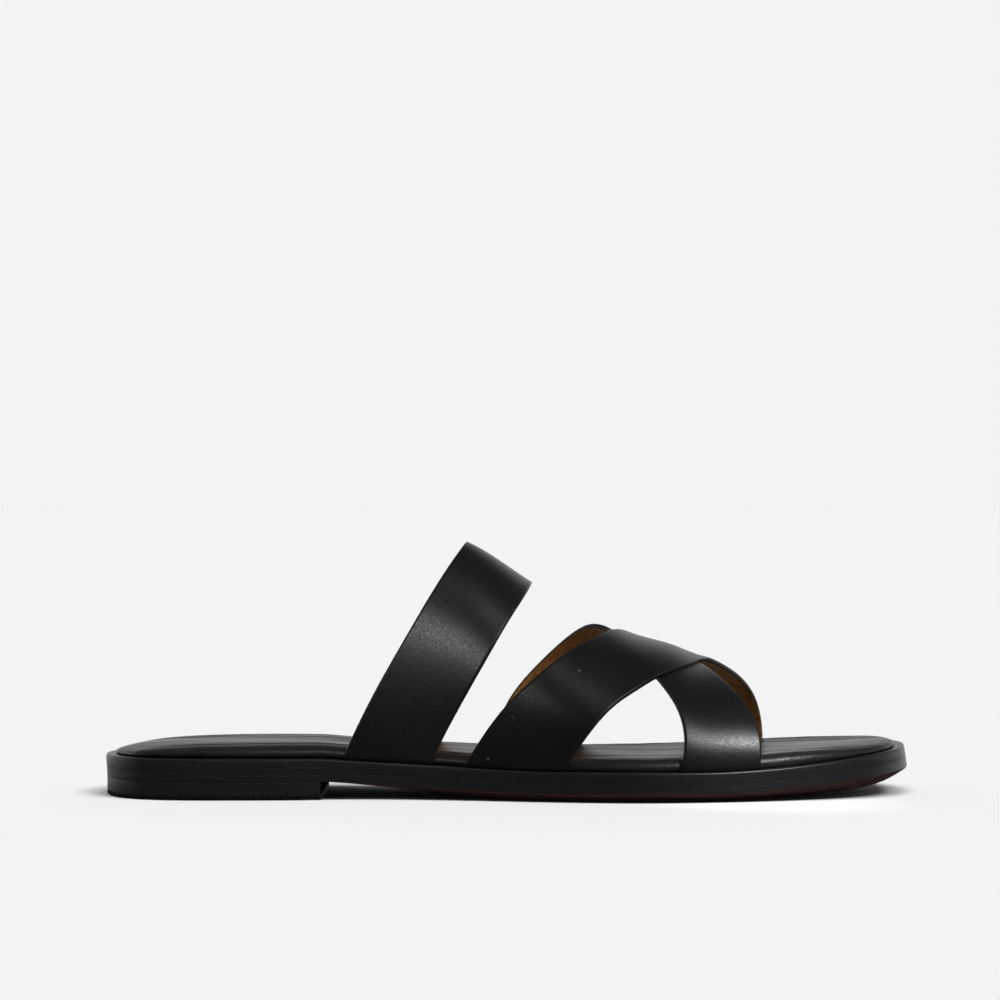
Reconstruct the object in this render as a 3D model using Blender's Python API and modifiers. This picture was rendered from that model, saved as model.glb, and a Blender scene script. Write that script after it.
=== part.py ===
"""Slide sandal: a right shoe with an instep strap, two crossing toe straps and a low stacked heel.

+X points to the toe, +Y to the inner side of the foot and +Z up. The floor is at Z = 0.
"""
import math

import bmesh
import bpy
import numpy as np

MM = 0.001

# Driving sizes, in millimetres
HALF_LENGTH = 127.0
GAP = 0.3
WALL = 1.5
MIDSOLE_THICK = 3.6
OUTSOLE_THICK = 3.1
EDGE_BEVEL = 0.8
HEEL_SEAT = 12.8
BALL_HEIGHT = 9.45
TOE_SPRING_START = 60.0
TOE_SPRING_RISE = 5.75
TOE_SPRING_POWER = 1.66
HEEL_BREAST = -57.7
LIFT_THICK = 1.5
TOOTH_PITCH = 1.5
TOOTH_HEIGHT = 0.5
CROWN_WIDTH = 14.0
STRAP_INSET = 0.3
SECTION_POWER = 2.15
STRAP_LAP = 0.3
LAP_BLEND = 6.0

# Sole outline: place along the shoe, then the outer side and the inner side of the foot
PLAN = [
    ("heel back", -125.4, -11.5, 11.7),
    ("heel corner", -121.4, -21.0, 21.2),
    ("heel curve", -114.2, -28.9, 28.5),
    ("heel side", -104.0, -32.8, 31.8),
    ("heel middle", -90.0, -33.8, 32.4),
    ("heel front", -73.0, -33.2, 30.8),
    ("breast", -57.7, -31.6, 28.0),
    ("waist", -40.0, -30.8, 25.6),
    ("arch", -22.0, -33.0, 27.6),
    ("arch end", 0.0, -38.2, 33.2),
    ("tread", 20.0, -43.0, 38.9),
    ("outer ball", 38.0, -45.5, 42.9),
    ("inner ball", 55.0, -44.9, 45.1),
    ("toe joints", 70.0, -42.3, 45.5),
    ("little toe", 84.0, -38.6, 45.2),
    ("toes", 98.0, -33.2, 44.2),
    ("toe curve", 110.0, -26.2, 42.0),
    ("toe corner", 118.0, -19.0, 38.8),
    ("toe end", 123.9, -9.0, 32.0),
    ("toe front", 126.3, 2.0, 23.0),
]
HEEL_TIP = (-HALF_LENGTH, 0.0)
TOE_TIP = (HALF_LENGTH, 12.5)

# Height of the ledge round the footbed, behind the toe spring
LEDGE_HEIGHT = [
    (-HALF_LENGTH, HEEL_SEAT),
    (-60.0, HEEL_SEAT),
    (-48.6, 12.15),
    (-33.0, 11.35),
    (-20.0, 10.7),
    (-8.0, 10.05),
    (2.0, 9.65),
    (12.0, BALL_HEIGHT),
    (TOE_SPRING_START, BALL_HEIGHT),
]

# Width of the ledge that the footbed leaves bare
LEDGE_WIDTH = [
    (-HALF_LENGTH, 3.2),
    (-105.0, 3.0),
    (-75.0, 2.4),
    (-55.0, 2.1),
    (90.0, 2.1),
    (108.0, 2.8),
    (HALF_LENGTH, 3.3),
]

# Thickness of the padded footbed
FOOTBED_THICK = [
    (-HALF_LENGTH, 1.7),
    (-121.0, 2.2),
    (-113.0, 3.0),
    (-103.0, 3.7),
    (-88.0, 4.2),
    (-65.0, 4.5),
    (-20.0, 4.1),
    (20.0, 3.6),
    (40.0, 3.6),
    (60.0, 4.0),
    (84.0, 4.1),
    (96.0, 3.7),
    (106.0, 3.0),
    (118.0, 2.1),
    (HALF_LENGTH, 1.6),
]

# Footbed's rolled edge: inset from its foot, share of its thickness, shift up
FOOTBED_PROFILE = [
    (0.0, 0.0, GAP),
    (0.0, 0.4, 0.0),
    (0.3, 0.66, 0.0),
    (0.9, 0.84, 0.0),
    (1.9, 0.95, 0.0),
    (3.2, 1.0, 0.0),
    (9.0, 1.0, 0.0),
    (16.0, 1.0, -0.25),
]

# Height of the outsole's middle over the floor
BOTTOM_HEIGHT = [
    (-HALF_LENGTH, 5.8),
    (-57.0, 5.75),
    (-49.0, 4.5),
    (-34.0, 2.8),
    (-18.0, 1.35),
    (-4.0, 0.4),
    (8.0, 0.0),
    (TOE_SPRING_START, 0.0),
    (74.0, 0.35),
    (90.0, 1.2),
    (106.0, 2.1),
    (118.0, 3.5),
    (HALF_LENGTH, 5.2),
]

# How far the sole's wall leans out at its foot
WALL_FLARE = [
    (-HALF_LENGTH, -0.35),
    (-100.0, -0.1),
    (-60.0, 0.0),
    (90.0, 0.0),
    (115.0, 0.6),
    (HALF_LENGTH, 0.9),
]

# Crest of the last under the straps: place, height, shift to the inner side
CREST = [
    (-55.0, 88.6, 2.0),
    (-30.0, 85.5, 3.0),
    (-12.5, 79.5, 4.0),
    (8.0, 66.6, 7.0),
    (20.0, 58.5, 10.0),
    (30.0, 52.8, 13.0),
    (40.0, 48.6, 14.0),
    (52.0, 45.2, 14.0),
    (62.0, 41.4, 14.0),
    (72.0, 39.4, 14.0),
    (82.0, 36.0, 14.0),
    (92.0, 31.0, 14.0),
]

# Strap edges: degrees round the last from the outer side, rear edge, front edge
INSTEP_EDGES = [
    (0.0, -50.8, -24.0),
    (15.0, -41.0, -14.2),
    (30.0, -31.2, -6.0),
    (45.0, -23.4, 0.0),
    (60.0, -17.6, 4.6),
    (75.0, -13.9, 7.2),
    (90.0, -12.5, 8.1),
    (105.0, -13.9, 7.2),
    (120.0, -17.6, 4.6),
    (135.0, -23.4, 0.0),
    (150.0, -31.2, -6.0),
    (165.0, -41.0, -14.2),
    (180.0, -50.8, -24.0),
]
OVER_EDGES = [
    (0.0, -13.2, 17.2),
    (5.0, -9.2, 20.2),
    (15.0, -1.8, 25.8),
    (30.0, 9.9, 34.2),
    (45.0, 19.0, 45.0),
    (60.0, 26.7, 54.5),
    (75.0, 32.6, 60.0),
    (90.0, 37.8, 63.8),
    (105.0, 44.8, 69.8),
    (120.0, 51.0, 75.9),
    (135.0, 55.6, 80.4),
    (150.0, 58.2, 82.8),
    (165.0, 59.3, 83.9),
    (180.0, 59.3, 84.2),
]
UNDER_EDGES = [
    (0.0, 53.0, 77.6),
    (15.0, 54.3, 78.2),
    (30.0, 52.8, 76.3),
    (45.0, 47.9, 72.3),
    (60.0, 42.2, 67.2),
    (75.0, 37.6, 62.4),
    (90.0, 33.4, 58.0),
    (105.0, 28.6, 53.5),
    (120.0, 24.2, 49.0),
    (135.0, 18.6, 43.2),
    (150.0, 10.8, 35.6),
    (165.0, 0.9, 28.6),
    (180.0, -6.0, 22.0),
]

# Mesh fineness
OUTLINE_STEPS = 60
HEEL_STEPS = 30
STRAP_SECTIONS = 44
STRAP_ROWS = 6
CROSSING_ROWS = 9
DENSE_STEPS = 1500

# Colours as seen, red, green and blue from 0 to 255
BLACK_LEATHER = (32, 31, 32)
BLACK_EDGE = (38, 37, 38)
OUTSOLE_LEATHER = (74, 44, 36)
HEEL_STACK = (30, 30, 30)
BLACK_RUBBER = (20, 20, 21)


def between(rows, x, column=1):
    """Value of a table's column at x, on a smooth curve that doesn't overshoot its rows."""
    places = np.array([row[0] for row in rows])
    values = np.array([row[column] for row in rows])
    spans = np.diff(places)
    slopes = np.diff(values) / spans
    tangents = np.zeros(len(places))
    for i in range(1, len(places) - 1):
        if slopes[i - 1] * slopes[i] > 0.0:
            before = 2.0 * spans[i] + spans[i - 1]
            after = spans[i] + 2.0 * spans[i - 1]
            tangents[i] = (before + after) / (before / slopes[i - 1] + after / slopes[i])
    tangents[0] = slopes[0]
    tangents[-1] = slopes[-1]
    x = np.clip(x, places[0], places[-1])
    k = np.clip(np.searchsorted(places, x) - 1, 0, len(spans) - 1)
    t = (x - places[k]) / spans[k]
    return (
        (2 * t**3 - 3 * t**2 + 1) * values[k]
        + (t**3 - 2 * t**2 + t) * spans[k] * tangents[k]
        + (3 * t**2 - 2 * t**3) * values[k + 1]
        + (t**3 - t**2) * spans[k] * tangents[k + 1]
    )


def closed_spline(points):
    """Dense closed curve through the points, with smooth bends, and its outward normals."""
    points = np.array(points, dtype=float)
    count = len(points)
    spans = np.linalg.norm(np.roll(points, -1, axis=0) - points, axis=1)
    matrix = np.zeros((count, count))
    right = np.zeros((count, 2))
    for i in range(count):
        last, this = spans[i - 1], spans[i]
        matrix[i, i - 1] = this
        matrix[i, i] = 2.0 * (last + this)
        matrix[i, (i + 1) % count] = last
        after = (points[(i + 1) % count] - points[i]) / this
        before = (points[i] - points[i - 1]) / last
        right[i] = 3.0 * (this * before + last * after)
    tangents = np.linalg.solve(matrix, right)
    curve = []
    slope = []
    per_span = DENSE_STEPS // count
    for i in range(count):
        j = (i + 1) % count
        h = spans[i]
        for t in np.arange(per_span) / per_span:
            curve.append(
                (2 * t**3 - 3 * t**2 + 1) * points[i]
                + (t**3 - 2 * t**2 + t) * h * tangents[i]
                + (3 * t**2 - 2 * t**3) * points[j]
                + (t**3 - t**2) * h * tangents[j]
            )
            slope.append(
                (6 * t**2 - 6 * t) * (points[i] - points[j]) / h
                + (3 * t**2 - 4 * t + 1) * tangents[i]
                + (3 * t**2 - 2 * t) * tangents[j]
            )
    slope = np.array(slope)
    slope /= np.linalg.norm(slope, axis=1)[:, None]
    normals = np.column_stack((slope[:, 1], -slope[:, 0]))
    return np.array(curve), normals


def sole_curve():
    """Sole outline from the heel's tip along the outer side to the toe and back."""
    outer = [(row[1], row[2]) for row in PLAN]
    inner = [(row[1], row[3]) for row in reversed(PLAN)]
    return closed_spline([HEEL_TIP] + outer + [TOE_TIP] + inner)


SOLE_CURVE, SOLE_NORMALS = sole_curve()


def sides(inset):
    """Outer and inner half of the outline, moved in by a width that may change along the shoe."""
    width = np.array([inset(x) for x in SOLE_CURVE[:, 0]])
    moved = SOLE_CURVE - SOLE_NORMALS * width[:, None]
    rear = int(np.argmin(moved[:, 0]))
    moved = np.roll(moved, -rear, axis=0)
    front = int(np.argmax(moved[:, 0]))
    outer = moved[: front + 1]
    inner = np.vstack((moved[front:], moved[:1]))[::-1]
    return outer, inner


def half_width(x):
    """Distance of the sole's outer and inner edge from the centre line."""
    outer, inner = sides(lambda place: 0.0)
    return -np.interp(x, outer[:, 0], outer[:, 1]), np.interp(x, inner[:, 0], inner[:, 1])


def sole_ring(inset, height):
    """Ring of points from heel tip to toe tip on the outer side and back on the inner side."""
    outer, inner = sides(inset)
    rear, front = outer[0, 0], outer[-1, 0]
    turns = np.linspace(0.0, math.pi, OUTLINE_STEPS + 1)
    stations = rear + (front - rear) * (1.0 - np.cos(turns)) / 2.0
    ring = [(x, np.interp(x, outer[:, 0], outer[:, 1])) for x in stations]
    ring += [(x, np.interp(x, inner[:, 0], inner[:, 1])) for x in stations[-2:0:-1]]
    return [(x, y, float(height(x))) for x, y in ring]


def heel_ring(inset, height, steps=HEEL_STEPS):
    """Ring of points round the heel, closed by a straight breast, evenly spaced on each side."""
    halves = []
    for side in sides(inset):
        side = side[side[:, 0] < HEEL_BREAST]
        corner = (HEEL_BREAST, np.interp(HEEL_BREAST, side[:, 0], side[:, 1]))
        side = np.vstack((side, corner))
        run = np.concatenate(([0.0], np.cumsum(np.linalg.norm(np.diff(side, axis=0), axis=1))))
        marks = np.linspace(0.0, run[-1], steps + 1)
        halves.append([(np.interp(m, run, side[:, 0]), np.interp(m, run, side[:, 1])) for m in marks])
    ring = halves[0] + halves[1][:0:-1]
    return [(x, y, height(i)) for i, (x, y) in enumerate(ring)]


def heel_side_length():
    """Length of the heel's edge from its back to its breast."""
    outer = sides(lambda x: 0.0)[0]
    outer = outer[outer[:, 0] < HEEL_BREAST]
    return float(np.sum(np.linalg.norm(np.diff(outer, axis=0), axis=1)))


def paint(name, colour, roughness):
    """Plain finish in the colour seen, turned to linear light."""
    finish = bpy.data.materials.new(name)
    finish.use_nodes = True
    shader = finish.node_tree.nodes["Principled BSDF"]
    linear = [((value / 255 + 0.055) / 1.055) ** 2.4 for value in colour]
    shader.inputs["Base Color"].default_value = (*linear, 1.0)
    shader.inputs["Roughness"].default_value = roughness
    shader.inputs["Metallic"].default_value = 0.0
    return finish


def new_object(name, mesh, finish, collection):
    """Object with its mesh and finish in a collection."""
    mesh.materials.append(finish)
    piece = bpy.data.objects.new(name, mesh)
    collection.objects.link(piece)
    return piece


def stacked_rings(name, rings, finish, collection):
    """Solid through rings from its underside to its top, each end closed by bars across it."""
    mesh = bpy.data.meshes.new(name)
    bm = bmesh.new()
    loops = [[bm.verts.new([value * MM for value in point]) for point in ring] for ring in rings]
    count = len(loops[0])
    for low, high in zip(loops, loops[1:]):
        for i in range(count):
            j = (i + 1) % count
            bm.faces.new((low[i], low[j], high[j], high[i]))
    for loop, upward in ((loops[0], False), (loops[-1], True)):
        for i in range((count + 1) // 2):
            bar = [loop[i], loop[i + 1], loop[(count - i - 1) % count], loop[(count - i) % count]]
            corners = list(dict.fromkeys(bar))
            if len(corners) > 2:
                bm.faces.new(corners if upward else corners[::-1])
    bmesh.ops.recalc_face_normals(bm, faces=bm.faces)
    bm.to_mesh(mesh)
    bm.free()
    return new_object(name, mesh, finish, collection)


def ledge(x):
    """Height of the ledge round the footbed, with the toe spring."""
    spring = max(x - TOE_SPRING_START, 0.0) / (HALF_LENGTH - TOE_SPRING_START)
    return between(LEDGE_HEIGHT, x) + TOE_SPRING_RISE * spring**TOE_SPRING_POWER


def outsole_top(x):
    """Height of the joint's underside between midsole and outsole."""
    return ledge(x) - MIDSOLE_THICK - GAP


def flare(x, share):
    """Inset of the sole's wall where it leans out towards its foot."""
    return -between(WALL_FLARE, x) * share


def make_footbed(collection):
    """Padded, leather-covered footbed with a rolled edge."""
    rings = []
    for inset, share, shift in FOOTBED_PROFILE:
        rings.append(
            sole_ring(
                lambda x, inset=inset: between(LEDGE_WIDTH, x) + inset,
                lambda x, share=share, shift=shift: ledge(x) + share * between(FOOTBED_THICK, x) + shift,
            )
        )
    return stacked_rings("footbed", rings, paint("Padded black leather", BLACK_LEATHER, 0.5), collection)


def make_midsole(collection):
    """Midsole board with a bevel on its top edge."""
    rings = [
        sole_ring(lambda x: flare(x, 0.5), lambda x: ledge(x) - MIDSOLE_THICK),
        sole_ring(lambda x: 0.0, lambda x: ledge(x) - EDGE_BEVEL),
        sole_ring(lambda x: EDGE_BEVEL, ledge),
    ]
    return stacked_rings("midsole", rings, paint("Black edge paint", BLACK_EDGE, 0.35), collection)


def make_outsole(collection):
    """Leather outsole with a black wall and a crowned underside that is flat where it treads."""

    def wall_foot(x):
        return outsole_top(x) - OUTSOLE_THICK

    def crown(x, inset):
        middle = between(BOTTOM_HEIGHT, x)
        return middle + (wall_foot(x) - middle) * (1.0 - inset / CROWN_WIDTH) ** 2

    insets = (CROWN_WIDTH, 10.0, 6.5, 3.5, 1.4)
    rings = [
        sole_ring(lambda x, inset=inset: inset + flare(x, 1.0), lambda x, inset=inset: crown(x, inset))
        for inset in insets
    ]
    rings.append(sole_ring(lambda x: flare(x, 1.0), wall_foot))
    rings.append(sole_ring(lambda x: flare(x, 0.5) + 0.1, outsole_top))
    return stacked_rings("outsole", rings, paint("Brown sole leather", OUTSOLE_LEATHER, 0.5), collection)


def make_heel(collection):
    """Low stacked heel block under the seat."""
    foot = LIFT_THICK + GAP
    head = HEEL_SEAT - MIDSOLE_THICK - OUTSOLE_THICK - 2.0 * GAP - 0.05
    rings = [
        heel_ring(lambda x: flare(x, 1.0), lambda i: foot),
        heel_ring(lambda x: flare(x, 0.7), lambda i: head),
    ]
    return stacked_rings("heel", rings, paint("Black stacked leather", HEEL_STACK, 0.4), collection)


def make_heel_top_lift(collection):
    """Rubber top lift whose upper edge is wheeled into teeth."""
    teeth = round(heel_side_length() / TOOTH_PITCH)
    steps = 2 * teeth

    def zigzag(i):
        side_step = i if i <= steps else 2 * steps + 1 - i
        return LIFT_THICK - TOOTH_HEIGHT * (side_step % 2) - 0.05

    rings = [
        heel_ring(lambda x: 0.25 + flare(x, 1.0), lambda i: 0.0, steps),
        heel_ring(lambda x: 0.1 + flare(x, 1.0), zigzag, steps),
        heel_ring(lambda x: 0.9 + flare(x, 1.0), lambda i: LIFT_THICK, steps),
    ]
    return stacked_rings("heel_top_lift", rings, paint("Black rubber", BLACK_RUBBER, 0.6), collection)


def last_point(x, turn):
    """Point on the straps' outer face at x and an angle round the last."""
    outer, inner = half_width(x)
    base = ledge(x) + GAP
    rise = between(CREST, x, 1) - base
    shift = between(CREST, x, 2)
    across = abs(math.cos(turn)) ** (2.0 / SECTION_POWER)
    reach = outer - STRAP_INSET + shift if turn < math.pi / 2 else inner - STRAP_INSET - shift
    side = -1.0 if turn < math.pi / 2 else 1.0
    y = shift + side * reach * across
    return np.array((x, y, base + rise * max(math.sin(turn), 0.0) ** (2.0 / SECTION_POWER)))


def outward(x, turn):
    """Unit normal of the last there, pointing out."""
    step = 0.02
    low = min(max(turn, step), math.pi - step)
    along = last_point(x + 0.5, low) - last_point(x - 0.5, low)
    around = last_point(x, low + step) - last_point(x, low - step)
    normal = np.cross(along, around)
    return normal / np.linalg.norm(normal)


def lap(x, degrees):
    """Share of the wall by which the upper strap is lifted where it lies over the lower one."""
    rear = between(UNDER_EDGES, degrees, 1)
    front = between(UNDER_EDGES, degrees, 2)
    inside = min(x - rear, front - x)
    share = min(max(inside / LAP_BLEND + 0.5, 0.0), 1.0)
    return share * share * (3.0 - 2.0 * share)


def make_strap(name, edges, rows, lifted, finish, collection):
    """Band of leather over the last, between a rear and a front edge, with its wall inwards."""
    mesh = bpy.data.meshes.new(name)
    bm = bmesh.new()
    grid = []
    for k in range(STRAP_SECTIONS + 1):
        degrees = 180.0 * k / STRAP_SECTIONS
        rear = float(between(edges, degrees, 1))
        front = float(between(edges, degrees, 2))
        line = []
        for i in range(rows + 1):
            x = rear + (front - rear) * i / rows
            point = last_point(x, math.radians(degrees))
            if lifted:
                point = point + outward(x, math.radians(degrees)) * (WALL - STRAP_LAP) * lap(x, degrees)
            line.append(bm.verts.new([value * MM for value in point]))
        grid.append(line)
    for low, high in zip(grid, grid[1:]):
        for i in range(rows):
            bm.faces.new((low[i], low[i + 1], high[i + 1], high[i]))
    bm.to_mesh(mesh)
    bm.free()
    strap = new_object(name, mesh, finish, collection)
    wall = strap.modifiers.new("Wall", "SOLIDIFY")
    wall.thickness = WALL * MM
    wall.offset = -1.0
    wall.use_even_offset = True
    return strap


def make_cross_straps(finish, collection, cutters):
    """Two straps joined where the one from the heel side lies over the one from the toe side."""
    straps = make_strap("cross_straps", OVER_EDGES, CROSSING_ROWS, True, finish, collection)
    under = make_strap("lower_cross_strap", UNDER_EDGES, CROSSING_ROWS, False, finish, cutters)
    under.display_type = "WIRE"
    under.hide_render = True
    join = straps.modifiers.new("Join", "BOOLEAN")
    join.operation = "UNION"
    join.solver = "EXACT"
    join.object = under
    return straps


def main():
    for old in list(bpy.data.objects):
        bpy.data.objects.remove(old, do_unlink=True)
    sandal = bpy.data.collections.new("Slide sandal")
    cutters = bpy.data.collections.new("Cutters")
    bpy.context.scene.collection.children.link(sandal)
    bpy.context.scene.collection.children.link(cutters)

    make_footbed(sandal)
    make_midsole(sandal)
    make_outsole(sandal)
    make_heel(sandal)
    make_heel_top_lift(sandal)
    strap_leather = paint("Smooth black leather", BLACK_LEATHER, 0.45)
    make_strap("instep_strap", INSTEP_EDGES, STRAP_ROWS, False, strap_leather, sandal)
    make_cross_straps(strap_leather, sandal, cutters)


main()
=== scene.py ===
"""Right slide sandal of black leather on a pale studio floor.

+X points to the toe, +Y to the inner side of the foot, +Z up. Tables and sizes are in millimetres.
"""
import math

import bmesh
import bpy
import numpy as np
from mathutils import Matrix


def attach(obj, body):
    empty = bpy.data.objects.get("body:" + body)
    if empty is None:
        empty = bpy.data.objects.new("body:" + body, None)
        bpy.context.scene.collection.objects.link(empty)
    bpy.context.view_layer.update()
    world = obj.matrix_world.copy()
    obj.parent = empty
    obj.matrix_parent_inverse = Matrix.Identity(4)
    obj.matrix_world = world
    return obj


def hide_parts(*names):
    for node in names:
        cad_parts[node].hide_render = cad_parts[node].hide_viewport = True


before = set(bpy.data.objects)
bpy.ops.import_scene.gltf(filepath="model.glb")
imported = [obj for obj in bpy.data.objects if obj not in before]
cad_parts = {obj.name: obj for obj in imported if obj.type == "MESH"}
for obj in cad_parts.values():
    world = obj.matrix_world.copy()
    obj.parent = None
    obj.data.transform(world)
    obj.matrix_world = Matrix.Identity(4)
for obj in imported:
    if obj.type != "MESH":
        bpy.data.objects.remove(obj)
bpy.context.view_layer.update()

# Outsole
# One layer of vegetable-tanned sole leather, 3.4 mm thick at its wall, cut with the sole's outline and
# glued under the midsole. Its wall is ground flush and painted black; its underside is crowned and
# stays red-brown.
MM = 0.001
HALF_LENGTH = 127.0
SEAT_HEIGHT = 12.8
BALL_HEIGHT = 9.45
MIDSOLE_THICK = 3.6
OUTSOLE_THICK = 3.4
SPRING_START = 60.0
SPRING_RISE = 5.75
SPRING_POWER = 1.66
# Place along the shoe, and the outline's outer and inner side there
OUTSOLE_OUTLINE = [
    (-125.4, -11.5, 11.7),
    (-121.4, -21.0, 21.2),
    (-114.2, -28.9, 28.5),
    (-104.0, -32.8, 31.8),
    (-90.0, -33.8, 32.4),
    (-73.0, -33.2, 30.8),
    (-57.7, -31.6, 28.0),
    (-40.0, -30.8, 25.6),
    (-22.0, -33.0, 27.6),
    (0.0, -38.2, 33.2),
    (20.0, -43.0, 38.9),
    (38.0, -45.5, 42.9),
    (55.0, -44.9, 45.1),
    (70.0, -42.3, 45.5),
    (84.0, -38.6, 45.2),
    (98.0, -33.2, 44.2),
    (110.0, -26.2, 42.0),
    (118.0, -19.0, 38.8),
    (123.9, -9.0, 32.0),
    (126.3, 2.0, 23.0),
]
HEEL_TIP = (-HALF_LENGTH, 0.0)
TOE_TIP = (HALF_LENGTH, 12.5)
LEDGE_HEIGHT = [
    (-HALF_LENGTH, SEAT_HEIGHT),
    (-60.0, SEAT_HEIGHT),
    (-48.6, 12.15),
    (-33.0, 11.35),
    (-20.0, 10.7),
    (-8.0, 10.05),
    (2.0, 9.65),
    (12.0, BALL_HEIGHT),
    (SPRING_START, BALL_HEIGHT),
]
UNDERSIDE_HEIGHT = [
    (-HALF_LENGTH, 5.8),
    (-57.0, 5.75),
    (-49.0, 4.5),
    (-34.0, 2.8),
    (-18.0, 1.35),
    (-4.0, 0.4),
    (8.0, 0.0),
    (60.0, 0.0),
    (74.0, 0.35),
    (90.0, 1.2),
    (106.0, 1.8),
    (118.0, 2.8),
    (HALF_LENGTH, 4.2),
]
WALL_LEAN = [
    (-HALF_LENGTH, -0.35),
    (-100.0, -0.1),
    (-60.0, 0.0),
    (90.0, 0.0),
    (115.0, 0.6),
    (HALF_LENGTH, 0.9),
]
CROWN_WIDTH = 14.0
CROWN_INSETS = (14.0, 12.0, 10.0, 8.0, 6.0, 4.5, 3.2, 2.2, 1.4, 0.8, 0.35)
# Gap left in a glue line, so that no two faces lie in one place
GLUE_LINE = 0.02


def between(rows, x, column=1):
    """Column of a table at x, on a smooth curve that doesn't overshoot its rows."""
    places = np.array([row[0] for row in rows])
    values = np.array([row[column] for row in rows])
    spans = np.diff(places)
    slopes = np.diff(values) / spans
    tangents = np.zeros(len(places))
    for i in range(1, len(places) - 1):
        if slopes[i - 1] * slopes[i] > 0.0:
            before = 2.0 * spans[i] + spans[i - 1]
            after = spans[i] + 2.0 * spans[i - 1]
            tangents[i] = (before + after) / (before / slopes[i - 1] + after / slopes[i])
    tangents[0], tangents[-1] = slopes[0], slopes[-1]
    x = np.clip(x, places[0], places[-1])
    k = np.clip(np.searchsorted(places, x) - 1, 0, len(spans) - 1)
    t = (x - places[k]) / spans[k]
    return (
        (2 * t**3 - 3 * t**2 + 1) * values[k]
        + (t**3 - 2 * t**2 + t) * spans[k] * tangents[k]
        + (3 * t**2 - 2 * t**3) * values[k + 1]
        + (t**3 - t**2) * spans[k] * tangents[k + 1]
    )


def closed_spline(points, per_span=120):
    """Closed curve through the points, bent as a thin batten would be, with its outward normals."""
    points = np.array(points, dtype=float)
    count = len(points)
    spans = np.linalg.norm(np.roll(points, -1, axis=0) - points, axis=1)
    matrix = np.zeros((count, count))
    right = np.zeros((count, 2))
    for i in range(count):
        last, this = spans[i - 1], spans[i]
        matrix[i, i - 1], matrix[i, i], matrix[i, (i + 1) % count] = this, 2.0 * (last + this), last
        after = (points[(i + 1) % count] - points[i]) / this
        before = (points[i] - points[i - 1]) / last
        right[i] = 3.0 * (this * before + last * after)
    tangents = np.linalg.solve(matrix, right)
    t = (np.arange(per_span) / per_span)[:, None]
    curve, slope = [], []
    for i in range(count):
        j, h = (i + 1) % count, spans[i]
        curve.append(
            (2 * t**3 - 3 * t**2 + 1) * points[i]
            + (t**3 - 2 * t**2 + t) * h * tangents[i]
            + (3 * t**2 - 2 * t**3) * points[j]
            + (t**3 - t**2) * h * tangents[j]
        )
        slope.append(
            (6 * t**2 - 6 * t) * (points[i] - points[j]) / h
            + (3 * t**2 - 4 * t + 1) * tangents[i]
            + (3 * t**2 - 2 * t) * tangents[j]
        )
    slope = np.vstack(slope)
    slope /= np.linalg.norm(slope, axis=1)[:, None]
    return np.vstack(curve), np.column_stack((slope[:, 1], -slope[:, 0]))


outer_edge = [(row[0], row[1]) for row in OUTSOLE_OUTLINE]
inner_edge = [(row[0], row[2]) for row in reversed(OUTSOLE_OUTLINE)]
sole_curve, sole_normals = closed_spline([HEEL_TIP] + outer_edge + [TOE_TIP] + inner_edge)


def sole_sides(inset):
    """Outer and inner half of the outline, from heel tip to toe tip, moved in by inset(x)."""
    moved = sole_curve - sole_normals * inset(sole_curve[:, 0])[:, None]
    moved = np.roll(moved, -int(np.argmin(moved[:, 0])), axis=0)
    front = int(np.argmax(moved[:, 0]))
    return moved[: front + 1], np.vstack((moved[front:], moved[:1]))[::-1]


def sole_ring(inset, height, steps=260):
    """Points round the sole at an inset and a height that may both change along the shoe."""
    outer, inner = sole_sides(inset)
    turns = np.linspace(0.0, math.pi, steps + 1)
    stations = outer[0, 0] + (outer[-1, 0] - outer[0, 0]) * (1.0 - np.cos(turns)) / 2.0
    out = np.interp(stations, outer[:, 0], outer[:, 1])
    back = np.interp(stations[-2:0:-1], inner[:, 0], inner[:, 1])
    x = np.concatenate((stations, stations[-2:0:-1]))
    return np.column_stack((x, np.concatenate((out, back)), height(x)))


def ledge(x):
    """Height of the sole's top edge, with the toe spring."""
    spring = np.clip((x - SPRING_START) / (HALF_LENGTH - SPRING_START), 0.0, 1.0)
    return between(LEDGE_HEIGHT, x) + SPRING_RISE * spring**SPRING_POWER


def from_ledge(rise):
    """Height that follows the sole's top edge, above it or below."""
    return lambda x: ledge(x) + rise


def lean(share, inset=0.0):
    """Inset of a ring of the wall: its own, less a share of the outward lean at the wall's foot."""
    return lambda x: inset - between(WALL_LEAN, x) * share


def stacked(name, rings, materials):
    """Closed piece through rings from its underside to its top; a ring's own number picks its material."""
    mesh = bpy.data.meshes.new(name)
    bm = bmesh.new()
    loops = [[bm.verts.new(point * MM) for point in ring] for ring, number in rings]
    count = len(loops[0])
    for k, (low, high) in enumerate(zip(loops, loops[1:])):
        for i in range(count):
            j = (i + 1) % count
            face = bm.faces.new((low[i], low[j], high[j], high[i]))
            face.material_index = rings[k][1]
    for loop, upward, number in ((loops[0], False, rings[0][1]), (loops[-1], True, rings[-1][1])):
        for i in range((count + 1) // 2):
            bar = [loop[i], loop[i + 1], loop[(count - i - 1) % count], loop[(count - i) % count]]
            corners = list(dict.fromkeys(bar))
            if len(corners) > 2:
                face = bm.faces.new(corners if upward else corners[::-1])
                face.material_index = number
    bmesh.ops.recalc_face_normals(bm, faces=bm.faces)
    bm.to_mesh(mesh)
    bm.free()
    for material in materials:
        mesh.materials.append(material)
    piece = bpy.data.objects.new(name, mesh)
    bpy.context.scene.collection.objects.link(piece)
    return piece


def smooth(piece, degrees):
    """Rounded shading, with a crease where faces meet at more than the angle."""
    bpy.ops.object.select_all(action="DESELECT")
    piece.select_set(True)
    bpy.context.view_layer.objects.active = piece
    bpy.ops.object.shade_smooth_by_angle(angle=math.radians(degrees))


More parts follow.
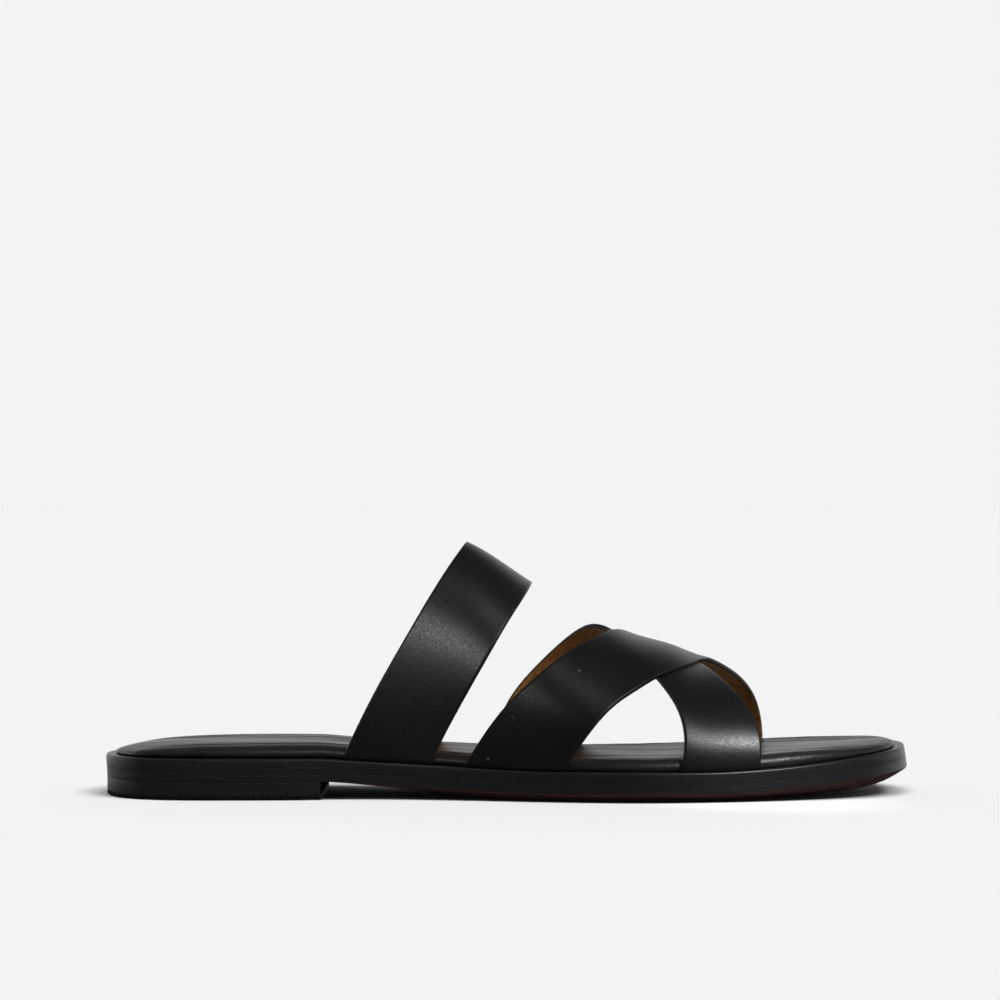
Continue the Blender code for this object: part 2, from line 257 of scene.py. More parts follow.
def linear(code):
    """sRGB hex colour as linear light."""
    values = [int(code[i : i + 2], 16) / 255 for i in (1, 3, 5)]
    return [v / 12.92 if v <= 0.04045 else ((v + 0.055) / 1.055) ** 2.4 for v in values] + [1.0]


def node(material, kind, settings=None, links=None):
    """Adds a node, sets its attributes and sockets, and links outputs of others to its sockets."""
    made = material.node_tree.nodes.new(kind)
    for key, value in (settings or {}).items():
        if isinstance(key, str) and hasattr(made, key):
            setattr(made, key, value)
        else:
            made.inputs[key].default_value = value
    for key, source in (links or {}).items():
        material.node_tree.links.new(source, made.inputs[key])
    return made


def finish(name, **sockets):
    """New material with its shader's own constants; returns it with its shader."""
    material = bpy.data.materials.new(name)
    material.use_nodes = True
    shader = material.node_tree.nodes["Principled BSDF"]
    for key, value in sockets.items():
        shader.inputs[key.replace("_", " ")].default_value = value
    return material, shader


# Places of the colour sockets on a Mix node, whose names repeat
MIX_SHARE, MIX_UNDER, MIX_OVER, MIX_RESULT = 0, 6, 7, 2


def ramp(material, source, stops):
    """Colour ramp on a value, with stops of place and sRGB hex colour."""
    made = node(material, "ShaderNodeValToRGB", links={"Fac": source})
    elements = made.color_ramp.elements
    while len(elements) < len(stops):
        elements.new(0.5)
    for element, (place, code) in zip(elements, stops):
        element.position = place
        element.color = linear(code)
    return made.outputs["Color"]


def scaled(material, x, y, z):
    """Object coordinates stretched by three factors, per metre."""
    place = node(material, "ShaderNodeTexCoord")
    mapping = node(material, "ShaderNodeMapping", {"Scale": (x, y, z)}, {"Vector": place.outputs["Object"]})
    return mapping.outputs["Vector"]


def specked(material, colour, scale, speck):
    """Colour with a few small specks of another, where a noise peaks."""
    specks = node(material, "ShaderNodeTexNoise", {"Scale": scale, "Detail": 1.0},
                  {"Vector": scaled(material, 1.0, 1.0, 1.0)})
    share = node(material, "ShaderNodeMapRange", {"From Min": 0.78, "From Max": 0.82},
                 {"Value": specks.outputs["Fac"]})
    mix = node(material, "ShaderNodeMix", {"data_type": "RGBA", MIX_OVER: linear(speck)},
               {MIX_SHARE: share.outputs["Result"], MIX_UNDER: colour})
    return mix.outputs[MIX_RESULT]


def bumped(material, strength, distance, height, under=None):
    """Normal bent by a height, and by another bump beneath it where there is one."""
    links = {"Height": height, "Normal": under} if under else {"Height": height}
    bump = node(material, "ShaderNodeBump", {"Strength": strength, "Distance": distance}, links)
    return bump.outputs["Normal"]


def wire(material, shader, **sockets):
    """Links outputs to the shader's sockets of the same names."""
    for key, source in sockets.items():
        material.node_tree.links.new(source, shader.inputs[key.replace("_", " ")])


# Painted edge: pigmented acrylic edge paint on ground leather, ironed and waxed. It gives an even
# near-black with lengthwise burnish streaks, drawn coarser than real so that they show, a low satin
# shine and a few light chips.
edge_paint, shader = finish("Burnished black edge paint", Roughness=0.32, IOR=1.4)
streaks = node(edge_paint, "ShaderNodeTexNoise", {"Scale": 1.0, "Detail": 5.0, "Roughness": 0.6},
               {"Vector": scaled(edge_paint, 60.0, 60.0, 2600.0)})
blotches = node(edge_paint, "ShaderNodeTexNoise", {"Scale": 70.0, "Detail": 3.0},
                {"Vector": scaled(edge_paint, 1.0, 1.0, 1.0)})
edge_colour = ramp(edge_paint, streaks.outputs["Fac"], [(0.3, "#161515"), (0.7, "#22201F")])
edge_gloss = node(edge_paint, "ShaderNodeMapRange", {"To Min": 0.26, "To Max": 0.4},
                  {"Value": blotches.outputs["Fac"]})
wire(edge_paint, shader, Base_Color=specked(edge_paint, edge_colour, 380.0, "#5C5855"),
     Roughness=edge_gloss.outputs["Result"],
     Normal=bumped(edge_paint, 0.2, 0.00002, streaks.outputs["Fac"]))

# Sole leather: vegetable-tanned, stained red-brown, buffed. Fine fibre streaks run lengthwise.
sole_leather, shader = finish("Red-brown sole leather", Roughness=0.6, IOR=1.35)
fibres = node(sole_leather, "ShaderNodeTexNoise", {"Scale": 1.0, "Detail": 6.0, "Roughness": 0.65},
              {"Vector": scaled(sole_leather, 90.0, 900.0, 900.0)})
sole_colour = ramp(sole_leather, fibres.outputs["Fac"],
                   [(0.3, "#2C1712"), (0.5, "#40231C"), (0.72, "#54332A")])
wire(sole_leather, shader, Base_Color=sole_colour,
     Normal=bumped(sole_leather, 0.3, 0.00008, fibres.outputs["Fac"]))


# Height of the lower edge of the sole's wall
wall_foot = from_ledge(-MIDSOLE_THICK - OUTSOLE_THICK)


def crown(inset):
    """Height of the crowned underside at an inset from the wall."""

    def height(x):
        middle = between(UNDERSIDE_HEIGHT, x)
        return middle + (wall_foot(x) - middle) * (1.0 - inset / CROWN_WIDTH) ** 2

    return height


outsole_rings = [(sole_ring(lean(1.0, inset), crown(inset)), 1) for inset in CROWN_INSETS]
outsole_rings += [
    (sole_ring(lean(1.0, 0.12), from_ledge(0.05 - MIDSOLE_THICK - OUTSOLE_THICK)), 0),
    (sole_ring(lean(0.98), from_ledge(0.22 - MIDSOLE_THICK - OUTSOLE_THICK)), 0),
    (sole_ring(lean(0.5), from_ledge(-0.06 - MIDSOLE_THICK)), 0),
    (sole_ring(lean(0.5, 0.04), from_ledge(-0.03 - MIDSOLE_THICK)), 0),
]
outsole = stacked("sole_outsole", outsole_rings, [edge_paint, sole_leather])
smooth(outsole, 25)
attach(outsole, "root")
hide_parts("outsole")

# Midsole
# Leather board that the straps are lasted onto, glued to the outsole. Its edge is ground with the
# outsole's, its top corner is run over with a rounding tool, and both are painted black.
MIDSOLE_ROUNDING = 0.8
ROUNDING_STEPS = 8
JOINT_DEPTH = 0.07
JOINT_END = -45.0
JOINT_FADE = 25.0


def joint(x):
    """Depth of the joint line in the wall, which dies out in front of the heel."""
    return GLUE_LINE + JOINT_DEPTH * np.clip((JOINT_END - x) / JOINT_FADE, 0.0, 1.0)


def steady(value):
    """The same value at every place."""
    return lambda x: 0.0 * x + value


midsole_rings = [
    (sole_ring(lambda x: joint(x) + lean(0.5)(x), from_ledge(-0.02 - MIDSOLE_THICK)), 0),
    (sole_ring(lambda x: lean(0.48)(x) - 0.3 * joint(x), from_ledge(0.06 - MIDSOLE_THICK)), 0),
]
for step in range(ROUNDING_STEPS + 1):
    turn = math.pi / 2 * step / ROUNDING_STEPS
    inset = MIDSOLE_ROUNDING * (1.0 - math.cos(turn))
    drop = MIDSOLE_ROUNDING * (1.0 - math.sin(turn))
    midsole_rings.append((sole_ring(steady(inset), from_ledge(-drop)), 0))
midsole_rings.append((sole_ring(steady(2.0), from_ledge(0.02)), 0))
midsole_rings.append((sole_ring(steady(8.0), from_ledge(-0.02)), 0))
midsole = stacked("sole_midsole", midsole_rings, [edge_paint])
smooth(midsole, 25)
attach(midsole, "root")
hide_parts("midsole")

# Heel
# Low block of stacked leather lifts, cut square at the breast, glued and nailed under the seat from
# inside, then ground flush with the sole and painted black. A wheel has pressed notches 1.5 mm apart
# into the joint between its lower edge and the top lift.
HEEL_BREAST = -57.7
HEEL_HEAD = SEAT_HEIGHT - MIDSOLE_THICK - OUTSOLE_THICK - GLUE_LINE
LIFT_THICK = 1.5
TOOTH_PITCH = 1.5
TOOTH_HEIGHT = 0.75
TOOTH_FORM = (0.0, 0.0, 0.35, 1.0, 1.0, 0.35)


def heel_ring(inset, height, steps):
    """Points round the heel, evenly spaced on each side and closed by the straight breast."""
    halves = []
    for side in sole_sides(inset):
        side = side[side[:, 0] < HEEL_BREAST]
        corner = (HEEL_BREAST, float(np.interp(HEEL_BREAST, side[:, 0], side[:, 1])))
        side = np.vstack((side, corner))
        run = np.concatenate(([0.0], np.cumsum(np.linalg.norm(np.diff(side, axis=0), axis=1))))
        marks = np.linspace(0.0, run[-1], steps + 1)
        x = np.interp(marks, run, side[:, 0])
        y = np.interp(marks, run, side[:, 1])
        halves.append(np.column_stack((x, y)))
    ring = np.vstack((halves[0], halves[1][:0:-1]))
    return np.column_stack((ring, height(np.arange(len(ring)))))


heel_side = sole_sides(steady(0.0))[0]
heel_side = heel_side[heel_side[:, 0] < HEEL_BREAST]
side_length = float(np.sum(np.linalg.norm(np.diff(heel_side, axis=0), axis=1)))
tooth_steps = len(TOOTH_FORM) * round(side_length / TOOTH_PITCH)


def tooth_edge(rise):
    """Height of the wheeled edge, moved up or down: rounded teeth with notches between."""

    def height(i):
        count = np.where(i <= tooth_steps, i, 2 * tooth_steps + 1 - i)
        return LIFT_THICK - TOOTH_HEIGHT * np.array(TOOTH_FORM)[count % len(TOOTH_FORM)] + rise

    return height


heel_rings = [
    (heel_ring(lean(1.0, 1.2), steady(LIFT_THICK + 0.01), tooth_steps), 0),
    (heel_ring(lean(1.0, 0.3), tooth_edge(GLUE_LINE), tooth_steps), 0),
    (heel_ring(lean(1.0, 0.08), tooth_edge(0.1), tooth_steps), 0),
    (heel_ring(lean(1.0), steady(LIFT_THICK + 0.3), tooth_steps), 0),
    (heel_ring(lean(1.0), steady(HEEL_HEAD - 0.06), tooth_steps), 0),
    (heel_ring(lean(1.0, 0.06), steady(HEEL_HEAD), tooth_steps), 0),
]

# Breast: dyed raw fibre, left dull.
breast_dye, shader = finish("Dull dyed leather fibre", Roughness=0.85, Specular_IOR_Level=0.0)
shader.inputs["Base Color"].default_value = linear("#151110")
heel = stacked("heel_stack", heel_rings, [edge_paint, breast_dye])
for face in heel.data.polygons:
    if face.normal.x > 0.9 and face.center.x > (HEEL_BREAST - 1.0) * MM:
        face.material_index = 1
smooth(heel, 25)
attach(heel, "root")
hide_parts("heel")

# Heel top lift
# Sheet of black rubber, 1.5 mm thick, glued under the heel. Its teeth fill the notches that the wheel
# left in the heel's lower edge, and its own lower edge wears first.

# Lift rubber: moulded, buffed and dull, with a faint dusty mottle drawn about 1 mm across, coarser than
# real so that it shows.
lift_rubber, shader = finish("Black top-lift rubber", Roughness=0.8, IOR=1.35)
dust = node(lift_rubber, "ShaderNodeTexNoise", {"Scale": 900.0, "Detail": 4.0},
            {"Vector": scaled(lift_rubber, 1.0, 1.0, 1.0)})
rubber_colour = ramp(lift_rubber, dust.outputs["Fac"], [(0.35, "#060606"), (0.75, "#0E0E0F")])
wire(lift_rubber, shader, Base_Color=rubber_colour,
     Normal=bumped(lift_rubber, 0.3, 0.00006, dust.outputs["Fac"]))

lift_rings = [
    (heel_ring(lean(1.0, 0.45), steady(0.0), tooth_steps), 0),
    (heel_ring(lean(1.0, 0.2), steady(0.2), tooth_steps), 0),
    (heel_ring(lean(1.0, 0.02), tooth_edge(-0.08), tooth_steps), 0),
    (heel_ring(lean(1.0, 0.25), tooth_edge(0.0), tooth_steps), 0),
    (heel_ring(lean(1.0, 1.1), steady(LIFT_THICK - GLUE_LINE), tooth_steps), 0),
]
top_lift = stacked("heel_lift", lift_rings, [lift_rubber])
smooth(top_lift, 40)
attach(top_lift, "root")
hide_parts("heel_top_lift")

# Footbed
# Foam pad covered with thin black leather, its edge rolled and turned under before it is glued onto
# the midsole. The turned leather gathers in fine lengthwise creases, most of them at the forefoot.
BARE_LEDGE = [
    (-HALF_LENGTH, 3.2),
    (-105.0, 3.0),
    (-75.0, 2.4),
    (-55.0, 2.1),
    (90.0, 2.1),
    (108.0, 2.8),
    (HALF_LENGTH, 3.3),
]
PAD_THICK = [
    (-HALF_LENGTH, 1.7),
    (-121.0, 2.2),
    (-113.0, 3.0),
    (-103.0, 3.7),
    (-88.0, 4.2),
    (-65.0, 4.5),
    (-20.0, 4.1),
    (20.0, 3.6),
    (40.0, 3.6),
    (60.0, 4.0),
    (84.0, 4.1),
    (96.0, 3.7),
    (106.0, 3.0),
    (118.0, 2.1),
    (HALF_LENGTH, 1.6),
]
# Inset from the pad's foot, share of its thickness
PAD_ROLL = [
    (0.35, 0.0),
    (0.05, 0.12),
    (-0.05, 0.28),
    (0.02, 0.42),
    (0.15, 0.54),
    (0.4, 0.66),
    (0.8, 0.77),
    (1.4, 0.87),
    (2.0, 0.93),
    (2.7, 0.97),
    (13.0, 0.98),
    (16.0, 0.94),
    (20.0, 0.93),
]
# Inset where the roll ends and the flat top starts
ROLL_END = 2.8
# Width of the roll: the heel's end is cushioned, the forefoot is flat
ROLL_WIDTH = [
    (-HALF_LENGTH, 2.3),
    (-45.0, 2.3),
    (10.0, 1.4),
    (80.0, 1.0),
    (HALF_LENGTH, 1.0),
]
# Crease's inset, its ends along the shoe, its depth
PAD_CREASES = [
    (3.3, 30.0, 60.0, 0.2),
    (4.5, 38.0, 72.0, 0.16),
    (6.0, 24.0, 55.0, 0.22),
    (7.7, 33.0, 66.0, 0.18),
    (9.6, 28.0, 50.0, 0.16),
    (3.6, 84.0, 106.0, 0.16),
    (5.0, 88.0, 116.0, 0.16),
    (6.7, 80.0, 112.0, 0.22),
    (8.5, 90.0, 117.0, 0.16),
    (10.4, 84.0, 108.0, 0.16),
    (4.0, -110.0, -84.0, 0.1),
    (6.4, -104.0, -72.0, 0.1),
]
CREASE_WIDTH = 0.5
CREASED_END = 12.2
CREASE_STEP = 0.3

# Footbed leather: thin, soft and glazed, worn to an uneven shine. Its grain is drawn 1.1 mm across,
# coarser than real so that it shows.
pad_leather, shader = finish("Thin black footbed leather", Roughness=0.4, IOR=1.5)
on_pad = scaled(pad_leather, 1.0, 1.0, 1.0)
pad_grain = node(pad_leather, "ShaderNodeTexVoronoi", {"Scale": 900.0}, {"Vector": on_pad})
pad_creases = node(pad_leather, "ShaderNodeTexNoise", {"Scale": 1.0, "Detail": 4.0, "Roughness": 0.55},
                   {"Vector": scaled(pad_leather, 45.0, 900.0, 300.0)})
pad_rub = node(pad_leather, "ShaderNodeTexNoise", {"Scale": 60.0, "Detail": 4.0}, {"Vector": on_pad})
pad_colour = ramp(pad_leather, pad_rub.outputs["Fac"], [(0.3, "#151413"), (0.75, "#201E1C")])
pad_wear = node(pad_leather, "ShaderNodeTexNoise", {"Scale": 1.0, "Detail": 3.0, "Roughness": 0.6},
                {"Vector": scaled(pad_leather, 14.0, 130.0, 130.0)})
pad_gloss = node(pad_leather, "ShaderNodeMapRange",
                 {"From Min": 0.3, "From Max": 0.7, "To Min": 0.26, "To Max": 0.5},
                 {"Value": pad_wear.outputs["Fac"]})
pad_fine = bumped(pad_leather, 0.8, 0.00008, pad_grain.outputs["Distance"])
pad_lines = bumped(pad_leather, 0.5, 0.00014, pad_creases.outputs["Fac"], pad_fine)
pad_waves = bumped(pad_leather, 0.7, 0.0006, pad_wear.outputs["Fac"], pad_lines)
wire(pad_leather, shader, Base_Color=pad_colour, Roughness=pad_gloss.outputs["Result"], Normal=pad_waves)


def crease_depth(inset, x):
    """Depth of the pad's creases at an inset: soft troughs that wander a little and fade at their ends."""
    total = 0.0 * x
    for place, start, end, depth in PAD_CREASES:
        along = np.clip((x - start) / (end - start), 0.0, 1.0)
        centre = place + 0.35 * np.sin(x / 5.3 + place * 2.0) + 0.2 * np.sin(x / 2.1 + place)
        across = np.exp(-(((inset - centre) / CREASE_WIDTH) ** 2))
        total = total + depth * np.sin(math.pi * along) ** 0.7 * across
    return total


def pad_inset(inset):
    """Inset of a ring of the pad from the sole's outline, with the roll widened towards the heel."""
    return lambda x: between(BARE_LEDGE, x) + inset + (between(ROLL_WIDTH, x) - 1.0) * min(inset, ROLL_END)


def pad_height(inset, share):
    """Height of a ring of the pad, at a share of its thickness and with its creases."""
    return lambda x: ledge(x) + share * between(PAD_THICK, x) + GLUE_LINE - crease_depth(inset, x)


# The creased stretch goes between the roll and the pad's flat middle.
flat_rows = [row for row in PAD_ROLL if row[0] > CREASED_END]
creased_rows = [(float(inset), 1.0) for inset in np.arange(ROLL_END, CREASED_END, CREASE_STEP)]
rolled_rows = PAD_ROLL[: -len(flat_rows)]
pad_rings = [
    (sole_ring(pad_inset(inset), pad_height(inset, share)), 0)
    for inset, share in rolled_rows + creased_rows + flat_rows
]
footbed = stacked("footbed_pad", pad_rings, [pad_leather])
smooth(footbed, 60)
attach(footbed, "root")
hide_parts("footbed")

# Instep strap
# Band of smooth black calf leather, an inch wide, glued to a tan lining and 1.5 mm thick together. Its
# cut edges are painted, and its ends are tucked between footbed and midsole and glued.
STRAP_THICK = 1.5
STRAP_INSET = 0.3
SECTION_POWER = 2.15
TUCK_HEIGHT = 1.7
TUCK_DEPTH = 1.1
TUCK_ROUNDING = 0.96
FAIR_REACH = 12
FAIR_STEP = 2
# Closer sections where the band bends most, at its feet
SECTION_CROWDING = 0.175
# Share of the thickness and bulge beyond the cut, round a painted edge
EDGE_ROUND = ((0.08, 0.1), (0.3, 0.22), (0.7, 0.22), (0.92, 0.1))
# Place along the shoe, height of the last's crest there and its shift to the inner side
LAST_CREST = [
    (-55.0, 88.6, 2.0),
    (-30.0, 85.5, 3.0),
    (-12.5, 79.5, 4.0),
    (8.0, 66.6, 7.0),
    (20.0, 58.9, 10.0),
    (30.0, 53.2, 13.0),
    (40.0, 48.6, 14.0),
    (52.0, 45.2, 14.0),
    (62.0, 41.6, 14.0),
    (72.0, 40.2, 14.0),
    (82.0, 37.4, 14.0),
    (92.0, 33.0, 14.0),
]
# Degrees round the last from the outer side, and the band's rear and front edge there
INSTEP_EDGES = [
    (0.0, -50.8, -24.0),
    (15.0, -41.0, -14.2),
    (30.0, -31.2, -6.0),
    (45.0, -23.4, 0.0),
    (60.0, -17.6, 4.6),
    (75.0, -13.9, 7.2),
    (90.0, -12.5, 8.1),
    (105.0, -13.9, 7.2),
    (120.0, -17.6, 4.6),
    (135.0, -23.4, 0.0),
    (150.0, -31.2, -6.0),
    (165.0, -41.0, -14.2),
    (180.0, -50.8, -24.0),
]

# Strap leather: chrome-tanned calf, pigmented and plated smooth. Its fine pores and grain break up the
# satin shine; they are drawn 0.45 and 0.8 mm across, coarser than real so that they show. A few specks
# are light scuffs.
strap_leather, shader = finish("Smooth black calf leather", Roughness=0.3, IOR=1.42)
on_strap = scaled(strap_leather, 1.0, 1.0, 1.0)
pores = node(strap_leather, "ShaderNodeTexVoronoi", {"Scale": 2200.0}, {"Vector": on_strap})
grain = node(strap_leather, "ShaderNodeTexNoise", {"Scale": 1200.0, "Detail": 3.0, "Roughness": 0.6},
             {"Vector": on_strap})
clouds = node(strap_leather, "ShaderNodeTexNoise", {"Scale": 55.0, "Detail": 4.0}, {"Vector": on_strap})
strap_colour = ramp(strap_leather, clouds.outputs["Fac"], [(0.3, "#0E0D0D"), (0.75, "#141313")])
strap_gloss = node(strap_leather, "ShaderNodeMapRange",
                   {"From Min": 0.35, "From Max": 0.65, "To Min": 0.3, "To Max": 0.38},
                   {"Value": grain.outputs["Fac"]})
strap_fine = bumped(strap_leather, 0.5, 0.000014, pores.outputs["Distance"])
wire(strap_leather, shader, Base_Color=specked(strap_leather, strap_colour, 420.0, "#55524F"),
     Roughness=strap_gloss.outputs["Result"],
     Normal=bumped(strap_leather, 0.8, 0.000044, grain.outputs["Fac"], strap_fine))

# Lining: tan pigskin, split and buffed, with a soft nap and pores about 1.2 mm apart.
lining_leather, shader = finish("Tan pigskin lining", Roughness=0.68, IOR=1.45, Sheen_Weight=0.1,
                                Sheen_Roughness=0.5)
nap = node(lining_leather, "ShaderNodeTexNoise", {"Scale": 800.0, "Detail": 5.0},
           {"Vector": scaled(lining_leather, 1.0, 1.0, 1.0)})
lining_colour = ramp(lining_leather, nap.outputs["Fac"], [(0.3, "#845424"), (0.7, "#B07A40")])
wire(lining_leather, shader, Base_Color=lining_colour,
     Normal=bumped(lining_leather, 0.3, 0.00008, nap.outputs["Fac"]))


def last_point(x, turn):
    """Straps' outer face at x and an angle round the last, for arrays of both."""
    outer, inner = sole_sides(steady(0.0))
    outer_width = -np.interp(x, outer[:, 0], outer[:, 1])
    inner_width = np.interp(x, inner[:, 0], inner[:, 1])
    base = ledge(x) + GLUE_LINE
    rise = between(LAST_CREST, x, 1) - base
    shift = between(LAST_CREST, x, 2)
    across = np.abs(np.cos(turn)) ** (2.0 / SECTION_POWER)
    up = np.clip(np.sin(turn), 0.0, 1.0) ** (2.0 / SECTION_POWER) * rise
    near = turn < math.pi / 2
    reach = np.where(near, outer_width - STRAP_INSET + shift, inner_width - STRAP_INSET - shift)
    low = np.clip(1.0 - up / TUCK_HEIGHT, 0.0, 1.0)
    reach = reach - TUCK_DEPTH * (1.0 - np.sqrt(1.0 - low**2 * TUCK_ROUNDING))
    y = shift + np.where(near, -1.0, 1.0) * reach * across
    return np.stack((x, y, base + up), axis=-1)


def strap_normal(x, turn):
    """Unit normal of the straps' outer face, pointing out, from points a small step to each side."""
    step = 0.4
    angle = 0.01
    turn = np.clip(turn, 2.0 * angle, math.pi - 2.0 * angle)
    along = last_point(x + step, turn) - last_point(x - step, turn)
    around = last_point(x, turn + angle) - last_point(x, turn - angle)
    normal = np.cross(along, around)
    return normal / np.linalg.norm(normal, axis=-1, keepdims=True)


def fair(edges, degrees, column):
    """Strap edge at degrees round the last, faired over some degrees each way."""
    total = 0.0
    weights = 0.0
    for shift in range(-FAIR_REACH, FAIR_REACH + 1, FAIR_STEP):
        turned = degrees + shift
        inside = np.clip(turned, 0.0, 180.0)
        mirrored = 2.0 * inside - turned
        weight = 1.0 + math.cos(math.pi * shift / (FAIR_REACH + FAIR_STEP))
        total = total + weight * (2.0 * between(edges, inside, column) - between(edges, mirrored, column))
        weights = weights + weight
    return total / weights


def strap(name, edges, lift, sections=260, rows=36):
    """Band round the last with painted, slightly rounded edges, black outside and tan inside."""
    turns = np.linspace(0.0, math.pi, sections + 1)
    turns = turns - SECTION_CROWDING * np.sin(2.0 * turns)
    degrees = np.degrees(turns)
    rear = fair(edges, degrees, 1)
    front = fair(edges, degrees, 2)
    shares = np.linspace(0.0, 1.0, rows + 1)
    x = rear[:, None] + (front - rear)[:, None] * shares[None, :]
    turn = np.repeat(turns[:, None], rows + 1, axis=1)
    outside = last_point(x, turn)
    normal = strap_normal(x, turn)
    outside = outside + normal * lift(x, np.degrees(turn))[..., None]
    inside = outside - normal * STRAP_THICK
    along = outside[:, -1:] - outside[:, :1]
    along = along / np.linalg.norm(along, axis=-1, keepdims=True)
    loops = []
    for k in range(sections + 1):
        loop = [outside[k, i] for i in range(rows + 1)]
        for share, bulge in EDGE_ROUND:
            loop.append(outside[k, rows] * (1 - share) + inside[k, rows] * share + along[k, 0] * bulge)
        loop += [inside[k, i] for i in range(rows, -1, -1)]
        for share, bulge in reversed(EDGE_ROUND):
            loop.append(outside[k, 0] * (1 - share) + inside[k, 0] * share - along[k, 0] * bulge)
        loops.append(loop)
    count = len(loops[0])
    edge_faces = len(EDGE_ROUND) + 1
    # Leather outside, paint round the front edge, lining inside, paint round the rear edge
    kinds = [0] * rows + [1] * edge_faces + [2] * rows + [1] * edge_faces
    mesh = bpy.data.meshes.new(name)
    bm = bmesh.new()
    rings = [[bm.verts.new(point * MM) for point in loop] for loop in loops]
    for low, high in zip(rings, rings[1:]):
        for i in range(count):
            j = (i + 1) % count
            face = bm.faces.new((low[i], low[j], high[j], high[i]))
            face.material_index = kinds[i]
    for ring in (rings[0], rings[-1]):
        face = bm.faces.new(ring)
        face.material_index = 1
    bmesh.ops.recalc_face_normals(bm, faces=bm.faces)
    bm.to_mesh(mesh)
    bm.free()
    for material in (strap_leather, edge_paint, lining_leather):
        mesh.materials.append(material)
    piece = bpy.data.objects.new(name, mesh)
    bpy.context.scene.collection.objects.link(piece)
    smooth(piece, 60)
    return piece


def flat(x, degrees):
    """No lift: the band lies on the last."""
    return 0.0 * x


instep = strap("strap_instep", INSTEP_EDGES, flat)
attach(instep, "root")
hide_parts("instep_strap")

# Cross straps
# Two bands like the instep strap, cut on curves. The lower one runs from the outer side at the toes to
# the inner side; the upper one is lasted over it the other way and lies on it without stitches.
OVER_EDGES = [
    (0.0, -13.2, 17.2),
    (5.0, -9.2, 20.2),
    (15.0, -1.8, 25.8),
    (30.0, 9.9, 34.2),
    (45.0, 19.0, 45.0),
    (60.0, 26.7, 54.5),
    (75.0, 32.6, 60.0),
    (90.0, 37.8, 63.8),
    (105.0, 44.8, 69.8),
    (120.0, 51.0, 75.9),
    (135.0, 55.6, 80.4),
    (150.0, 58.2, 82.8),
    (165.0, 59.3, 83.9),
    (180.0, 59.3, 84.2),
]
UNDER_EDGES = [
    (0.0, 53.3, 77.6),
    (15.0, 54.8, 78.2),
    (30.0, 53.4, 76.3),
    (45.0, 48.5, 72.3),
    (60.0, 42.5, 67.2),
    (75.0, 37.6, 62.4),
    (90.0, 33.0, 58.0),
    (105.0, 27.9, 53.5),
    (120.0, 23.3, 49.0),
    (135.0, 17.6, 43.2),
    (150.0, 9.9, 35.6),
    (165.0, 0.2, 28.6),
    (180.0, -6.4, 22.0),
]
LAP_RUN = 22.0


def lap_lift(x, degrees):
    """Height of the upper strap over the last where the lower strap runs beneath it."""
    rear = between(UNDER_EDGES, degrees, 1)
    front = between(UNDER_EDGES, degrees, 2)
    inside = np.minimum(x - rear, front - x)
    share = np.clip(inside / LAP_RUN + 1.0, 0.0, 1.0)
    return (STRAP_THICK + GLUE_LINE) * share * share * (3.0 - 2.0 * share)


upper = strap("strap_upper_cross", OVER_EDGES, lap_lift)
lower = strap("strap_lower_cross", UNDER_EDGES, flat)
for piece in (upper, lower):
    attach(piece, "root")
    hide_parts("cross_straps")

# Studio
# Seamless pale table in front of a white backdrop, in a dim room. A soft key stands in front on the toe's
# side, two fills light the table without a gleam of their own, and two small spots give the gleams
# on the instep and the lower cross strap. The shoe's reflections don't see the table: they see the
# world, whose lower half is painted dark as a stand-in for the table's shade beneath the shoe.
TABLE_WHITE = 0.88
BACKDROP = "#F3F3F3"
CEILING = "#4C4C4C"
# Painted shade: what the shoe's reflections see below the horizon, in place of the table's shadow beneath
# it
FLOOR_SHADE = "#2C2A29"
ROOM_LEFT = "#313131"
ROOM_RIGHT = "#5E5E5E"
SPOT_RADIUS = 0.02
table_paint, shader = finish("Matt pale table", Roughness=1.0)
shader.inputs["Specular IOR Level"].default_value = 0.0
shader.inputs["Base Color"].default_value = (TABLE_WHITE, TABLE_WHITE, TABLE_WHITE, 1.0)
bpy.ops.mesh.primitive_plane_add(size=60.0, location=(0.0, 0.0, 0.0))
table = bpy.context.active_object
table.name = "table"
table.data.materials.append(table_paint)
table.visible_glossy = False

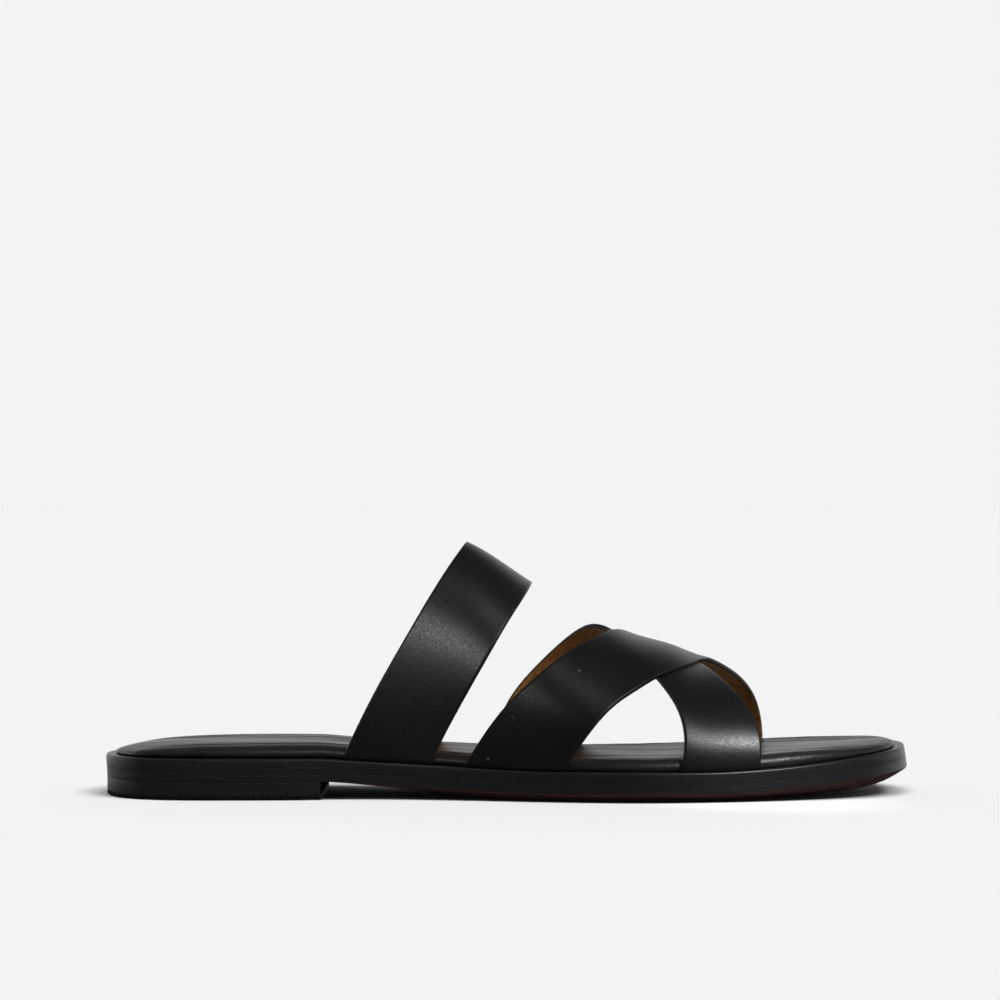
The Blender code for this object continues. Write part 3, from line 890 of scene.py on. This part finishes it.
world = bpy.data.worlds.new("Studio")
bpy.context.scene.world = world
world.use_nodes = True
background = world.node_tree.nodes["Background"]
way = node(world, "ShaderNodeTexCoord")
reach = node(world, "ShaderNodeSeparateXYZ", links={"Vector": way.outputs["Generated"]})
rise = node(world, "ShaderNodeMapRange", {"From Min": -0.12, "From Max": 0.6},
            {"Value": reach.outputs["Z"]})
# Below the horizon the world is painted shade, seen only in the shoe's reflections
wall_colour = ramp(world, rise.outputs["Result"],
                   [(0.0, FLOOR_SHADE), (0.125, BACKDROP), (0.389, BACKDROP), (1.0, CEILING)])
behind = node(world, "ShaderNodeMapRange", {"From Min": -0.3, "From Max": 0.4},
              {"Value": reach.outputs["Y"]})
aside = node(world, "ShaderNodeMapRange", {"From Min": 0.0, "From Max": 0.7},
             {"Value": reach.outputs["X"]})
front_colour = ramp(world, aside.outputs["Result"], [(0.0, ROOM_LEFT), (1.0, ROOM_RIGHT)])
room_colour = node(world, "ShaderNodeMix", {"data_type": "RGBA"},
                   {MIX_SHARE: behind.outputs["Result"], MIX_UNDER: front_colour, MIX_OVER: wall_colour})
wire(world, background, Color=room_colour.outputs[MIX_RESULT])


def lamp(name, azimuth, elevation, energy, width):
    """Distant light: azimuth from the camera towards the toe, elevation and width in degrees."""
    light = bpy.data.lights.new(name, "SUN")
    light.energy = energy
    light.angle = math.radians(width)
    made = bpy.data.objects.new(name, light)
    bpy.context.scene.collection.objects.link(made)
    made.rotation_euler = (math.radians(90.0 - elevation), 0.0, math.radians(azimuth))
    return made


def aimed(name, energy, cone, place, azimuth, elevation):
    """Small spot at a place, aimed the way a distant light from that azimuth and elevation shines."""
    spot = bpy.data.lights.new(name, "SPOT")
    spot.energy = energy
    spot.shadow_soft_size = SPOT_RADIUS
    spot.spot_size = math.radians(cone)
    spot.spot_blend = 1.0
    made = bpy.data.objects.new(name, spot)
    bpy.context.scene.collection.objects.link(made)
    made.location = place
    made.rotation_euler = (math.radians(90.0 - elevation), 0.0, math.radians(azimuth))


lamp("key_light", 38.0, 46.0, 0.8, 24.0)
for fill in (lamp("overhead_fill", 10.0, 80.0, 1.7, 45.0), lamp("side_fill", 62.0, 50.0, 0.75, 20.0)):
    fill.visible_glossy = False
aimed("instep_light", 3.81, 8.4, (-0.164, -0.56, 0.405), -14.0, 33.0)
aimed("toe_light", 20.78, 4.8, (0.448, -0.545, 0.573), 36.0, 42.0)

# Camera: long lens, level and square to the shoe's outer side.
camera = bpy.data.cameras.new("camera")
camera.lens = 135.36
camera.sensor_width = 36.0
camera.sensor_fit = "HORIZONTAL"
camera.clip_end = 100.0
viewer = bpy.data.objects.new("camera", camera)
bpy.context.scene.collection.objects.link(viewer)
viewer.location = (-0.0022, -1.1938, 0.0928)
viewer.rotation_euler = (math.pi / 2, 0.0, 0.0)
bpy.context.scene.camera = viewer
bpy.context.scene.view_settings.view_transform = "Standard"
